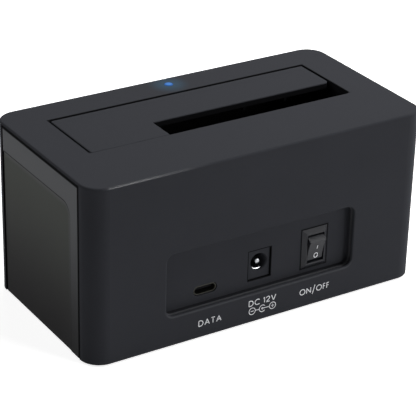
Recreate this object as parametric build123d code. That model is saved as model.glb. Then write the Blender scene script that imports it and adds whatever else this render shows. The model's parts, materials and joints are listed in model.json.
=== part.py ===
from build123d import *
import math
import os

# A hard drive docking station in millimetres.
# The origin is at the bottom centre, on the surface the feet stand on.
# X runs along the long side, -Y is the port side, +Y the light side, +Z is up.

# How far a cut runs past a face, and how far a joined piece reaches into its carrier
over = 1.0
root = 0.5

# Overall size
length = 135.0
depth = 70.0
height = 66.0
corner_radius = 7.5
edge_fillet = 0.8
foot_proud = 0.8

# Housing walls
wall = 2.4
top_wall = 2.4
side_skin = 1.4
cover_thickness = 2.0
cover_lip = 1.0
cover_seam = 0.45
cover_edge = 0.3
cover_top_seam = 0.5
base_thickness = 2.4
base_gap = 0.2

# Recessed panel on each side cover
panel_top_band = 8.7
panel_side_band = 5.4
panel_depth = 0.35
panel_corner = 4.5

# Drives that the bay takes
big_drive_length = 101.6
big_drive_thickness = 26.1
small_drive_length = 69.85
small_drive_thickness = 9.5
drive_side_clearance = 2.0
drive_wall_clearance = 0.5
big_drive_back_clearance = 1.2
small_drive_back_clearance = 1.9
small_drive_side_clearance = 2.35
connector_from_edge = 30.12
connector_from_face = 3.5

# Bay opening and the notch for the small drive
bay_front_share = 0.7945
opening_corner = 1.2
opening_fillet = 0.4
bay_floor_z = 21.0

# Bay liner
liner_wall = 1.6
liner_corner = 1.0
liner_floor = 1.8
liner_relief = 1.6
liner_step = 12.1
liner_ear_drop = 7.6
liner_ear_thickness = 2.4
liner_ear_radius = 3.2
liner_ear_out = 3.6
liner_ear_pitch = 34.0
liner_ear_count = 4
liner_post_inset = 4.2

# Flap and its hinge
flap_thickness = 2.2
flap_sunk = 0.2
flap_gap = 0.4
flap_left_gap = 0.65
flap_front_gap = 0.25
flap_edge_fillet = 0.4
flap_free_corner = 2.0
hinge_behind = 1.9
hinge_drop = 2.1
pin_radius = 0.9
pin_running = 0.05
pin_seat = 0.02
knuckle_radius = 1.8
knuckle_length = 7.0
knuckle_gap = 0.9
lug_radius = 1.6
lug_width = 4.0
lug_foot = 3.2
hinge_back_gap = 0.4
flap_rib = 1.2
flap_rib_depth = 2.5
flap_rib_pitch = 17.5
tab_length = 6.0
tab_reach = 1.2
tab_thickness = 1.9
tab_gap = 0.1

# Flap springs
spring_wire = 0.25
spring_radius = 1.45
spring_pitch = 1.1
spring_turns = 5
spring_leg = 8.0
spring_from_knuckle = 12.0

# Port window and port panel
window_length = 76.5
window_height = 23.6
window_z = 23.8
window_corner = 3.0
window_fillet = 0.7
window_lip = 1.0
window_seam = 0.4
recess_depth = 3.4
panel_wall = 1.4
panel_floor = 1.8
panel_flange = 3.6
panel_flange_thickness = 1.6
panel_fit = 0.15
stake_radius = 1.0
stake_head_radius = 1.8
stake_head_height = 0.7
stake_head_dome = 0.5
stake_clearance = 0.1

# Main board
board_top = 15.3
board_thickness = 1.6
board_length = 97.0
board_gap = 0.4
board_corner = 1.5
standoff_inset_x = 4.5
standoff_inset_y = 4.6
standoff_radius = 3.0

# Screws
base_boss_inset_x = 4.5
base_boss_inset_y = 4.4
base_boss_radius = 3.2
base_cup_radius = 3.6
base_cup_height = 5.6
base_cup_floor = 1.9
screw_head_radius = 2.4
screw_head_height = 1.7
screw_head_fillet = 0.55
screw_head_clearance = 0.2
screw_radius = 1.1
screw_clearance = 0.4
pilot_clearance = 0.05
base_screw_length = 12.0
liner_screw_length = 8.4
board_screw_length = 7.0
pilot_spare = 0.6

# Feet
foot_radius = 6.0
foot_seat = 1.0
foot_clearance = 0.1
foot_fillet = 0.3
foot_inset_x = 26.0
foot_inset_y = 13.0

# Base ribs
base_rib = 1.2
base_rib_height = 3.0
base_rib_spread_y = 12.0
base_rib_pitch_x = 30.0

# Side cover hooks
hook_y = 20.0
hook_low_z = 14.0
hook_drop = 16.0
hook_length = 6.0
hook_thickness = 2.0
hook_barb = 1.0
hook_behind = 1.4
hook_clearance = 0.2

# Round power jack
jack_x = 1.1
jack_width = 9.0
jack_height = 11.0
jack_axis_up = 6.0
jack_depth = 14.2
jack_collar = 3.4
jack_sunk = 0.7
jack_bore = 3.15
jack_bore_depth = 9.8
jack_mouth_chamfer = 0.4
jack_pin_radius = 1.0
jack_pin_short = 0.6
jack_pin_shank = 0.7
jack_pin_nose = 0.6
jack_lug_width = 2.4
jack_lug_thickness = 0.6
jack_lug_below = 1.2
jack_cut_clearance = 0.15

# Data socket
socket_x = -21.0
socket_width = 8.94
socket_height = 3.26
socket_wall = 0.3
socket_depth = 7.35
socket_sunk = 0.3
socket_cut_clearance = 0.3
tongue_width = 6.69
tongue_thickness = 0.7
tongue_length = 4.5
tongue_root = 1.6
tongue_corner = 0.2
contact_count = 12
contact_pitch = 0.5
contact_width = 0.25
contact_length = 3.2
contact_thickness = 0.06

# Rocker switch
switch_x = 23.9
switch_z = 21.7
bezel_width = 10.5
bezel_height = 15.0
bezel_proud = 1.1
bezel_slope = 1.4
switch_body_width = 8.2
switch_body_height = 13.2
switch_body_depth = 11.0
switch_cut_clearance = 0.15
rocker_half_width = 3.3
rocker_side_gap = 0.3
rocker_half_height = 4.1
rocker_shoulder_half = 4.9
rocker_face_out = 2.9
rocker_dish = 0.4
rocker_tilt = 14.0
rocker_opening_half = 5.5
rocker_pivot_behind = 2.2
rocker_cavity_back = 4.6
rocker_shoulder = 0.4
rocker_belly = 1.45
rocker_nub = 1.0
rocker_nub_tip = 0.75
rocker_nub_gap = 1.0
rocker_edge_fillet = 0.3
trunnion_radius = 0.8
trunnion_length = 0.7
trunnion_running = 0.05
blade_width = 2.8
blade_thickness = 0.5
blade_spread = 3.4
blade_inside = 1.0
blade_out = 4.5
wing_thickness = 0.6
wing_length = 3.0
board_notch_clearance = 0.8

# Switch leads
lead_radius = 0.7
lead_bend = 1.5
lead_from_blade_end = 1.6
upper_lead_run = 7.6
lower_lead_run = 4.2

# Drive connector
connector_length = 42.0
connector_width = 5.4
connector_height = 10.5
connector_slot = 1.5
connector_slot_depth = 5.5
connector_key = 1.4
connector_post = 3.0
connector_post_extra = 0.8
connector_clearance = 0.4
signal_contacts = 7
power_contacts = 15
drive_contact_pitch = 1.27
segment_gap = 6.35
drive_contact_width = 0.6
drive_contact_thickness = 0.25
drive_contact_short = 0.5

# Light pipe and indicator light
light_radius = 1.6
light_clearance = 0.08
light_liner_gap = 0.1
light_flange_radius = 1.9
light_flange_height = 1.0
light_dome = 0.15
led_length = 3.5
led_width = 2.8
led_height = 1.2
led_gap = 0.3

# Chips and other board parts
bridge_size = 9.0
bridge_height = 0.9
bridge_corner = 0.3
bridge_dot_radius = 0.5
bridge_dot_depth = 0.1
bridge_place = (-16.0, 6.0)
memory_length = 5.0
memory_width = 4.0
memory_height = 1.5
memory_place = (-31.0, 14.0)
lead_count = 4
lead_pitch = 1.27
lead_foot = 1.0
lead_foot_width = 0.4
lead_foot_thickness = 0.2
regulator_place = (-31.0, 2.0)
crystal_length = 5.0
crystal_width = 3.2
crystal_height = 1.1
can_fillet = 0.35
crystal_place = (-16.0, 16.0)
inductor_size = 6.0
inductor_height = 2.8
inductor_corner = 1.2
inductor_x = -41.0
inductor_pitch = 9.0
capacitor_radius = 3.15
capacitor_height = 7.7
capacitor_base = 6.6
capacitor_base_height = 1.0
capacitor_from_board_edge = 9.0
capacitor_first_x = -37.0
capacitor_pitch = 8.6

# Values worked out from the sizes above
half_length = length / 2
half_depth = depth / 2
bottom_z = foot_proud
under_top = height - top_wall
port_face = -half_depth
cover_half = half_depth - corner_radius
cover_top = height - cover_lip - cover_top_seam
inner_half_x = half_length - cover_thickness - side_skin
inner_half_y = half_depth - wall
inner_corner = corner_radius - wall
half_opening = big_drive_length / 2 + drive_side_clearance
flap_above_pin = top_wall - flap_sunk + hinge_drop
big_drive_room = drive_wall_clearance + big_drive_thickness + big_drive_back_clearance
opening_depth = big_drive_room + flap_above_pin - hinge_behind
notch_depth = drive_wall_clearance + small_drive_thickness + small_drive_back_clearance
jack_room = recess_depth + jack_sunk + jack_depth + jack_lug_thickness
switch_room = recess_depth + switch_body_depth + blade_out
port_room = max(jack_room, switch_room)
behind_bay = hinge_behind + knuckle_radius + hinge_back_gap + liner_wall
light_room = light_liner_gap + light_flange_radius * 2 + wall
room_left = depth - port_room - liner_wall - opening_depth - behind_bay - light_room
bay_front = port_face + port_room + room_left * bay_front_share + liner_wall
bay_rear = bay_front + opening_depth
notch_left = half_opening - small_drive_length - small_drive_side_clearance * 2
notch_rear = bay_front + notch_depth
hinge_y = bay_rear + hinge_behind
hinge_z = under_top - hinge_drop
liner_half_x = half_opening + liner_relief
liner_outer_x = liner_half_x + liner_wall
liner_front = bay_front - liner_wall
liner_back = hinge_y + knuckle_radius + hinge_back_gap
liner_outer_back = liner_back + liner_wall
liner_wide_from = bay_front + liner_step
liner_bottom = bay_floor_z - liner_floor
liner_ear_z = under_top - liner_ear_drop
liner_ear_y = liner_front - liner_ear_out
flap_top = height - flap_sunk
flap_under = flap_top - flap_thickness
flap_left = -half_opening + flap_left_gap
flap_right = half_opening - flap_gap
flap_front = bay_front + flap_front_gap
flap_rear = bay_rear - flap_gap
light_y = liner_outer_back + light_liner_gap + light_flange_radius
boss_x = inner_half_x - base_boss_inset_x
boss_y = inner_half_y - base_boss_inset_y
post_x = liner_outer_x - liner_post_inset
post_y = liner_outer_back - liner_post_inset
foot_x = half_length - foot_inset_x
foot_y = half_depth - foot_inset_y
hook_high_z = height - hook_drop
base_top = bottom_z + base_thickness
cup_top = bottom_z + base_cup_height
screw_seat = cup_top - base_cup_floor
recess_floor = port_face + recess_depth
panel_back = recess_floor + panel_floor
panel_rim_front = port_face + window_lip + window_seam
board_bottom = board_top - board_thickness
board_front = panel_back + board_gap
board_rear = inner_half_y - board_gap
standoff_x = board_length / 2 - standoff_inset_x
capacitor_y = board_front + capacitor_from_board_edge
jack_z = board_top + jack_axis_up
jack_front = recess_floor + jack_sunk
jack_back = jack_front + jack_depth
socket_z = board_top + socket_height / 2
socket_front = recess_floor + socket_sunk
bezel_front = recess_floor - bezel_proud
pivot_y = bezel_front + rocker_pivot_behind
switch_back = recess_floor + switch_body_depth
connector_x = half_opening - drive_side_clearance - connector_from_edge
connector_y = bay_front + drive_wall_clearance + connector_from_face
connector_top = board_top + connector_height
inner_knuckle = lug_width / 2 + knuckle_gap
outer_knuckle = liner_half_x - liner_relief - knuckle_gap - knuckle_length


# Plain shapes between limits

def block(x0, x1, y0, y1, z0, z1):
    centre = ((x0 + x1) / 2, (y0 + y1) / 2, (z0 + z1) / 2)
    return Pos(*centre) * Box(x1 - x0, y1 - y0, z1 - z0)


def rounded_block(x_size, y_size, radius, z0, z1, centre=(0, 0)):
    outline = RectangleRounded(x_size, y_size, radius)
    return Pos(centre[0], centre[1], z0) * extrude(outline, z1 - z0)


def post(x, y, radius, z0, z1):
    return Pos(x, y, z0) * extrude(Circle(radius), z1 - z0)


def rod_x(y, z, radius, x0, x1):
    return Plane.YZ.offset(x0) * Pos(y, z) * extrude(Circle(radius), x1 - x0)


def rod_y(x, z, radius, y0, y1):
    return Plane.XZ.offset(-y1) * Pos(x, z) * extrude(Circle(radius), y1 - y0)


def port_plate(outline, x, z, y0, y1):
    """Extrude an outline drawn looking at the port side, from y0 to y1."""
    return Plane.XZ.offset(-y1) * Pos(x, z) * extrude(outline, y1 - y0)


def side_plate(outline, x0, x1):
    """Extrude an outline drawn in Y and Z, from x0 to x1."""
    return Plane.YZ.offset(x0) * extrude(outline, x1 - x0)


def mirrored(shape):
    return mirror(shape, about=Plane.YZ)


def pan_screw(x, y, seat_z, shank_length):
    """A screw with its head below the seat and its shank going up."""
    head = post(x, y, screw_head_radius, seat_z - screw_head_height, seat_z)
    head = fillet(head.faces().sort_by(Axis.Z)[0].edges(), screw_head_fillet)
    return head + post(x, y, screw_radius, seat_z, seat_z + shank_length)


def save(name, shape):
    shape.label = name
    export_step(shape, os.path.join("parts", name + ".step"))


def group(shapes):
    return Compound(children=list(shapes))


# Housing shell

def shell_outside():
    body = rounded_block(length, depth, corner_radius, bottom_z, height)
    return fillet(body.faces().sort_by(Axis.Z)[-1].edges(), edge_fillet)


def shell_cavity():
    return rounded_block(inner_half_x * 2, inner_half_y * 2, inner_corner, bottom_z - over, under_top)


def cover_rebate():
    seat = -half_length + cover_thickness
    return block(-half_length - over, seat, -cover_half, cover_half, bottom_z - over, height - cover_lip)


def hook_places():
    return [(y, z) for y in (-hook_y, hook_y) for z in (hook_low_z, hook_high_z)]


def hook_slots():
    slots = []
    for y, z in hook_places():
        half = hook_length / 2 + hook_clearance
        low = z - hook_barb - hook_clearance
        high = z + hook_thickness + hook_clearance
        slots.append(block(-half_length, -inner_half_x + over, y - half, y + half, low, high))
    return slots


def window_cut():
    lip_back = port_face + window_lip
    grow = (panel_wall + panel_fit) * 2
    outline = RectangleRounded(window_length, window_height, window_corner)
    wide = RectangleRounded(
        window_length + grow, window_height + grow, window_corner + panel_wall + panel_fit
    )
    front = port_plate(outline, 0, window_z, port_face - over, lip_back)
    return front + port_plate(wide, 0, window_z, lip_back, port_face + wall + over)


def round_window_edge(body):
    at_face = body.faces().sort_by(Axis.Y)[0]
    hole = at_face.inner_wires()[0]
    return fillet(hole.edges(), window_fillet)


def bay_opening_cut():
    centre = (0, (bay_front + bay_rear) / 2)
    return rounded_block(
        half_opening * 2, opening_depth, opening_corner, under_top - over, height + over, centre
    )


def round_opening_edge(body):
    top = body.faces().sort_by(Axis.Z)[-1]
    hole = top.inner_wires().sort_by(SortBy.LENGTH)[-1]
    return fillet(hole.edges(), opening_fillet)


def boss_places():
    return [(-boss_x, -boss_y), (boss_x, -boss_y)]


def post_places():
    return [(-post_x, post_y), (post_x, post_y)]


def base_screw_places():
    """Two screws go up into the shell's bosses at the port side, two into the liner's posts."""
    return boss_places() + post_places()


def base_bosses():
    """Two bosses for base screws, each tied to the walls by two ribs."""
    shapes = []
    for x, y in boss_places():
        shapes.append(post(x, y, base_boss_radius, cup_top, under_top + over))
        wall_x = math.copysign(inner_half_x + side_skin / 2, x)
        wall_y = -inner_half_y - wall / 2
        rib = base_rib / 2
        low = cup_top + base_cup_height
        shapes.append(block(min(x, wall_x), max(x, wall_x), y - rib, y + rib, low, under_top + over))
        shapes.append(block(x - rib, x + rib, wall_y, y, low, under_top + over))
    return shapes


def base_pilot(x, y):
    top = screw_seat + base_screw_length + pilot_spare
    return post(x, y, screw_radius + pilot_clearance, cup_top - over, top)


def ear_places():
    first = -liner_ear_pitch * (liner_ear_count - 1) / 2
    return [(first + index * liner_ear_pitch, liner_ear_y) for index in range(liner_ear_count)]


def liner_bosses():
    radius = liner_ear_radius - base_gap * 2
    return [post(x, y, radius, liner_ear_z, under_top + over) for x, y in ear_places()]


def shell_pilots():
    holes = [base_pilot(x, y) for x, y in boss_places()]
    top = liner_ear_z - liner_ear_thickness + liner_screw_length + pilot_spare
    for x, y in ear_places():
        holes.append(post(x, y, screw_radius + pilot_clearance, liner_ear_z - over, top))
    return holes


def stake_places():
    x = window_length / 2 + panel_wall + panel_flange / 2 + panel_fit
    z = window_height / 2 - window_corner
    return [(sx * x, window_z + sz * z) for sx in (-1, 1) for sz in (-1, 1)]


def heat_stakes():
    """Melted plastic pegs that hold the port panel against the wall."""
    inner_face = -inner_half_y
    flange_back = inner_face + panel_flange_thickness
    shapes = []
    for x, z in stake_places():
        shapes.append(rod_y(x, z, stake_radius, inner_face - over, flange_back))
        head = rod_y(x, z, stake_head_radius, flange_back, flange_back + stake_head_height)
        rim = head.faces().sort_by(Axis.Y)[-1].edges()
        shapes.append(fillet(rim, stake_head_dome))
    return shapes


def housing_shell():
    body = shell_outside() - cover_rebate() - mirrored(cover_rebate())
    body -= shell_cavity()
    body -= window_cut()
    body = round_window_edge(body)
    body -= bay_opening_cut()
    body = round_opening_edge(body)
    for slot in hook_slots():
        body -= slot
        body -= mirrored(slot)
    body += base_bosses()
    body += liner_bosses()
    body += heat_stakes()
    body -= shell_pilots()
    body -= post(0, light_y, light_radius + light_clearance, under_top - over, height + over)
    return body


# Side covers

def cover_panel_outline():
    """The shallow panel: open at the bottom and towards the light side, one rounded corner."""
    front = -half_depth + corner_radius + cover_seam + panel_side_band
    top = cover_top - panel_top_band
    far = cover_half + over
    low = bottom_z - over
    outline = Polyline(
        (front, low), (far, low), (far, top), (front + panel_corner, top)
    )
    corner = RadiusArc((front + panel_corner, top), (front, top - panel_corner), -panel_corner)
    side = Line((front, top - panel_corner), (front, low))
    return make_face(outline + corner + side)


def hook(y, z):
    seat = -half_length + cover_thickness
    tip = -inner_half_x + hook_behind
    half = hook_length / 2
    stem = block(seat - root, tip, y - half, y + half, z, z + hook_thickness)
    barb_start = -inner_half_x + tab_gap
    return stem + block(barb_start, tip, y - half, y + half, z - hook_barb, z + hook_thickness)


def side_cover():
    half = cover_half - cover_seam
    plate = block(-half_length, -half_length + cover_thickness, -half, half, bottom_z, cover_top)
    outer = plate.faces().sort_by(Axis.X)[0]
    plate = fillet(outer.edges(), cover_edge)
    plate -= side_plate(cover_panel_outline(), -half_length - over, -half_length + panel_depth)
    return plate + [hook(y, z) for y, z in hook_places()]


# Base plate, feet and screws

def foot_places():
    return [(sx * foot_x, sy * foot_y) for sx in (-1, 1) for sy in (-1, 1)]


def base_plate():
    outline_x = (inner_half_x - base_gap) * 2
    outline_y = (inner_half_y - base_gap) * 2
    body = rounded_block(outline_x, outline_y, inner_corner - base_gap, bottom_z, base_top)
    for x, y in base_screw_places():
        body += post(x, y, base_cup_radius, base_top - over, cup_top)
    for x, y in standoff_places():
        body += post(x, y, standoff_radius, base_top - over, board_bottom)
    rib_top = base_top + base_rib_height
    for y in (-base_rib_spread_y, base_rib_spread_y):
        body += block(-foot_x, foot_x, y - base_rib / 2, y + base_rib / 2, base_top - over, rib_top)
    for x in (-base_rib_pitch_x, 0, base_rib_pitch_x):
        body += block(x - base_rib / 2, x + base_rib / 2, -foot_y, foot_y, base_top - over, rib_top)
    head_hole = screw_head_radius + screw_head_clearance
    shank_hole = screw_radius + screw_clearance
    for x, y in base_screw_places():
        body -= post(x, y, head_hole, bottom_z - over, screw_seat)
        body -= post(x, y, shank_hole, bottom_z, cup_top + over)
    foot_hole = foot_radius + foot_clearance
    for x, y in foot_places():
        body -= post(x, y, foot_hole, bottom_z - over, bottom_z + foot_seat)
    for x, y in standoff_places():
        pilot_low = board_top - board_screw_length - pilot_spare
        body -= post(x, y, screw_radius + pilot_clearance, pilot_low, board_bottom + over)
    return body


def rubber_feet():
    feet = []
    for x, y in foot_places():
        foot = post(x, y, foot_radius, 0, bottom_z + foot_seat)
        feet.append(fillet(foot.faces().sort_by(Axis.Z)[0].edges(), foot_fillet))
    return group(feet)


def base_screws():
    return group(pan_screw(x, y, screw_seat, base_screw_length) for x, y in base_screw_places())


# Port panel

def stadium(width, thickness):
    return SlotOverall(width, thickness)


def port_panel():
    """A tub set in the window from inside, with a flange against the wall."""
    rim_x = window_length + panel_wall * 2
    rim_z = window_height + panel_wall * 2
    rim_corner = window_corner + panel_wall
    flange = RectangleRounded(rim_x + panel_flange * 2, rim_z, rim_corner)
    body = port_plate(RectangleRounded(rim_x, rim_z, rim_corner), 0, window_z, panel_rim_front, panel_back)
    inner_face = -inner_half_y
    body += port_plate(flange, 0, window_z, inner_face, inner_face + panel_flange_thickness)
    well = RectangleRounded(window_length, window_height, window_corner)
    body -= port_plate(well, 0, window_z, panel_rim_front - over, recess_floor)
    socket_cut = stadium(
        socket_width + socket_cut_clearance * 2, socket_height + socket_cut_clearance * 2
    )
    body -= port_plate(socket_cut, socket_x, socket_z, recess_floor - over, panel_back + over)
    jack_cut = Rectangle(jack_width + jack_cut_clearance * 2, jack_height + jack_cut_clearance * 2)
    jack_middle = board_top + jack_height / 2
    body -= port_plate(jack_cut, jack_x, jack_middle, recess_floor - over, panel_back + over)
    switch_cut = Rectangle(
        switch_body_width + switch_cut_clearance * 2, switch_body_height + switch_cut_clearance * 2
    )
    body -= port_plate(switch_cut, switch_x, switch_z, recess_floor - over, panel_back + over)
    for x, z in stake_places():
        body -= rod_y(x, z, stake_radius + stake_clearance, inner_face - over, panel_back + over)
    return body


# Bay liner

def liner_cavity():
    top = under_top + over
    narrow = block(-half_opening, half_opening, bay_front, liner_back, bay_floor_z, top)
    wide = block(-liner_half_x, liner_half_x, liner_wide_from, liner_back, bay_floor_z, top)
    return narrow + wide


def centre_lug():
    """The lug on the liner's rear wall that steadies the middle of the hinge pin."""
    half = lug_width / 2
    barrel = rod_x(hinge_y, hinge_z, lug_radius, -half, half)
    web = block(-half, half, hinge_y, liner_back + root, hinge_z - lug_radius, hinge_z + lug_radius)
    foot = Polyline(
        (liner_back + root, hinge_z - lug_radius),
        (hinge_y, hinge_z - lug_radius),
        (liner_back, hinge_z - lug_radius - lug_foot),
        (liner_back + root, hinge_z - lug_radius - lug_foot),
        close=True,
    )
    return barrel + web + side_plate(make_face(foot), -half, half)


def liner_ears():
    shapes = []
    low = liner_ear_z - liner_ear_thickness
    radius = liner_ear_radius
    for x, y in ear_places():
        shapes.append(post(x, y, radius, low, liner_ear_z))
        shapes.append(block(x - radius, x + radius, y, liner_front + root, low, liner_ear_z))
    return shapes


def liner_posts():
    return [post(x, y, base_boss_radius, cup_top, liner_bottom + root) for x, y in post_places()]


def bay_liner():
    body = block(-liner_outer_x, liner_outer_x, liner_front, liner_outer_back, liner_bottom, under_top)
    body = fillet(body.edges().filter_by(Axis.Z), liner_corner)
    body -= liner_cavity()
    body += liner_ears()
    body += liner_posts()
    body += centre_lug()
    slot_x = connector_length / 2 + connector_clearance
    slot_y = connector_width / 2 + connector_clearance
    body -= block(
        connector_x - slot_x, connector_x + slot_x, connector_y - slot_y, connector_y + slot_y,
        liner_bottom - over, bay_floor_z + over,
    )
    body -= rod_x(hinge_y, hinge_z, pin_radius + pin_seat, -liner_outer_x - over, liner_outer_x + over)
    hole_low = liner_ear_z - liner_ear_thickness - over
    for x, y in ear_places():
        body -= post(x, y, screw_radius + screw_clearance, hole_low, liner_ear_z + over)
    return body - [base_pilot(x, y) for x, y in post_places()]


def liner_screws():
    seat = liner_ear_z - liner_ear_thickness
    return group(pan_screw(x, y, seat, liner_screw_length) for x, y in ear_places())


# Flap, its pin and springs

def flap_outline():
    """The L seen from above: a full width plate less the small drive's notch."""
    outline = Polyline(
        (flap_left, flap_front),
        (notch_left, flap_front),
        (notch_left, notch_rear),
        (flap_right, notch_rear),
        (flap_right, flap_rear),
        (flap_left, flap_rear),
        close=True,
    )
    face = make_face(outline)
    free_end = face.vertices().sort_by_distance((flap_right, notch_rear, 0))[0]
    face = fillet(free_end, flap_free_corner)
    left_end = face.vertices().sort_by(Axis.X)[:2]
    return fillet(left_end, opening_corner - flap_gap)


def flap_plate():
    plate = Pos(0, 0, flap_under) * extrude(flap_outline(), flap_thickness)
    return fillet(plate.faces().sort_by(Axis.Z)[-1].edges(), flap_edge_fillet)


def flap_knuckle(x0):
    """One barrel round the pin and the arm that carries it under the plate's rear edge."""
    x1 = x0 + knuckle_length
    arm_front = flap_rear - knuckle_radius * 2
    arm_top = hinge_z + knuckle_radius
    outline = Polyline(
        (arm_front, flap_under + root),
        (flap_rear - root, flap_under + root),
        (flap_rear - root, arm_top),
        (hinge_y, arm_top),
        (hinge_y, hinge_z - knuckle_radius),
        close=True,
    )
    return side_plate(make_face(outline), x0, x1) + rod_x(hinge_y, hinge_z, knuckle_radius, x0, x1)


def knuckle_starts():
    return (
        -outer_knuckle - knuckle_length,
        -inner_knuckle - knuckle_length,
        inner_knuckle,
        outer_knuckle,
    )


def flap_ribs():
    shapes = []
    for x in (-flap_rib_pitch * 2, -flap_rib_pitch, flap_rib_pitch, flap_rib_pitch * 2):
        front = flap_front if x < notch_left else notch_rear
        start = front + flap_rib_depth
        stop = flap_rear - flap_rib_depth
        low = flap_under - flap_rib_depth
        shapes.append(block(x - flap_rib / 2, x + flap_rib / 2, start, stop, low, flap_under + root))
    return shapes


def flap_tabs():
    """Tabs at both ends that stop the flap against the underside of the top."""
    start = notch_rear + flap_free_corner
    stop = start + tab_length
    high = under_top - tab_gap
    low = high - tab_thickness
    shapes = []
    for side, edge in ((-1, flap_left), (1, flap_right)):
        inner = edge - side * tab_reach * 2
        tip = side * (half_opening + tab_reach)
        shapes.append(block(min(inner, tip), max(inner, tip), start, stop, low, high))
        shapes.append(block(min(inner, edge), max(inner, edge), start, stop, low, flap_under + root))
    return shapes


def flap():
    body = flap_plate() + [flap_knuckle(x0) for x0 in knuckle_starts()]
    body += flap_ribs()
    body += flap_tabs()
    return body - rod_x(hinge_y, hinge_z, pin_radius + pin_running, -half_length, half_length)


def hinge_pin():
    return rod_x(hinge_y, hinge_z, pin_radius, -liner_outer_x, liner_outer_x)


def spring_path(x0):
    """A coil round the pin with one leg under the flap and one down the rear wall."""
    steps_per_turn = 4
    steps = spring_turns * steps_per_turn + 1
    turn_step = math.tau / steps_per_turn

    def on_coil(step):
        angle = turn_step - step * turn_step
        x = x0 + spring_pitch * step / steps_per_turn
        y = hinge_y + spring_radius * math.cos(angle)
        z = hinge_z + spring_radius * math.sin(angle)
        return Vector(x, y, z)

    first = on_coil(0)
    pieces = [Line(first - Vector(0, spring_leg, 0), first)]
    for step in range(steps):
        middle = on_coil(step + 1 / 2)
        pieces.append(ThreePointArc(on_coil(step), middle, on_coil(step + 1)))
    last = on_coil(steps)
    pieces.append(Line(last, last - Vector(0, 0, spring_leg)))
    return Wire(pieces)


def flap_spring(x0):
    path = spring_path(x0)
    start = path @ 0
    section = Plane(origin=start, z_dir=path % 0) * Circle(spring_wire)
    return sweep(section, path=path)


# Main board and what stands on it

def standoff_places():
    rows = (board_front + standoff_inset_y, board_rear - standoff_inset_y)
    return [(sx * standoff_x, y) for sx in (-1, 1) for y in rows]


def board_cuts():
    notch_x = switch_body_width / 2 + board_notch_clearance
    notch_back = switch_back + board_notch_clearance
    low = board_bottom - over
    high = board_top + over
    cuts = [block(switch_x - notch_x, switch_x + notch_x, board_front - over, notch_back, low, high)]
    for y in jack_lug_places():
        half_x = jack_lug_width / 2 + board_gap / 2
        half_y = jack_lug_thickness / 2 + board_gap / 2
        cuts.append(block(jack_x - half_x, jack_x + half_x, y - half_y, y + half_y, low, high))
    for x, y in standoff_places():
        cuts.append(post(x, y, screw_radius + screw_clearance, low, high))
    return cuts


def main_board():
    size_y = board_rear - board_front
    centre = (0, (board_rear + board_front) / 2)
    board = rounded_block(board_length, size_y, board_corner, board_bottom, board_top, centre)
    return board - board_cuts()


def board_screws():
    """Screws with the head on the board and the shank going down."""
    screws = []
    for x, y in standoff_places():
        head = post(x, y, screw_head_radius, board_top, board_top + screw_head_height)
        head = fillet(head.faces().sort_by(Axis.Z)[-1].edges(), screw_head_fillet)
        screws.append(head + post(x, y, screw_radius, board_top - board_screw_length, board_top))
    return group(screws)


def bridge_chip():
    x, y = bridge_place
    top = board_top + bridge_height
    chip = rounded_block(bridge_size, bridge_size, bridge_corner, board_top, top, (x, y))
    third = bridge_size / 3
    return chip - post(x - third, y + third, bridge_dot_radius, top - bridge_dot_depth, top + over)


def small_chip(place):
    """A small chip with four bent leads along each long side."""
    x, y = place
    low = board_top + lead_foot_thickness
    chip = block(
        x - memory_length / 2, x + memory_length / 2, y - memory_width / 2, y + memory_width / 2,
        low, board_top + memory_height,
    )
    first = x - lead_pitch * (lead_count - 1) / 2
    for index in range(lead_count):
        lead_x = first + index * lead_pitch
        half = lead_foot_width / 2
        reach = memory_width / 2 + lead_foot
        chip += block(lead_x - half, lead_x + half, y - reach, y + reach, board_top, low)
    return chip


def crystal():
    top = board_top + crystal_height
    can = rounded_block(
        crystal_length, crystal_width, crystal_width / 3, board_top, top, crystal_place
    )
    return fillet(can.faces().sort_by(Axis.Z)[-1].edges(), can_fillet)


def inductors():
    coils = []
    for index in range(2):
        centre = (inductor_x, index * inductor_pitch)
        top = board_top + inductor_height
        body = rounded_block(inductor_size, inductor_size, inductor_corner, board_top, top, centre)
        coils.append(fillet(body.faces().sort_by(Axis.Z)[-1].edges(), can_fillet))
    return group(coils)


def capacitors():
    cans = []
    for index in range(2):
        x = capacitor_first_x + index * capacitor_pitch
        half = capacitor_base / 2
        base_high = board_top + capacitor_base_height
        foot = block(x - half, x + half, capacitor_y - half, capacitor_y + half, board_top, base_high)
        can = post(x, capacitor_y, capacitor_radius, board_top, board_top + capacitor_height)
        can = fillet(can.faces().sort_by(Axis.Z)[-1].edges(), can_fillet)
        cans.append(foot + can)
    return group(cans)


def indicator_led():
    half_x = led_length / 2
    half_y = led_width / 2
    return block(-half_x, half_x, light_y - half_y, light_y + half_y, board_top, board_top + led_height)


def light_pipe():
    low = board_top + led_height + led_gap
    pipe = post(0, light_y, light_radius, low, height + light_dome)
    pipe = fillet(pipe.faces().sort_by(Axis.Z)[-1].edges(), light_dome * 2)
    return pipe + post(0, light_y, light_flange_radius, under_top - light_flange_height, under_top)


# Drive connector

def segment_starts():
    """X of the first signal contact and of the first power contact."""
    signal = (signal_contacts - 1) * drive_contact_pitch
    power = (power_contacts - 1) * drive_contact_pitch
    first = connector_x - (signal + segment_gap + power) / 2
    return (first, signal_contacts), (first + signal + segment_gap, power_contacts)


def connector_slot_cut(first, count):
    """An L-shaped slot: a long leg for the blade and a short key at one end."""
    start = first - drive_contact_pitch
    stop = first + count * drive_contact_pitch
    low = connector_top - connector_slot_depth
    half = connector_slot / 2
    high = connector_top + connector_post_extra + over
    long_leg = block(start, stop, connector_y - half, connector_y + half, low, high)
    key_side = connector_y + half + connector_key
    key = block(stop - connector_slot, stop, connector_y - half, key_side, low, high)
    return long_leg + key


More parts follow.
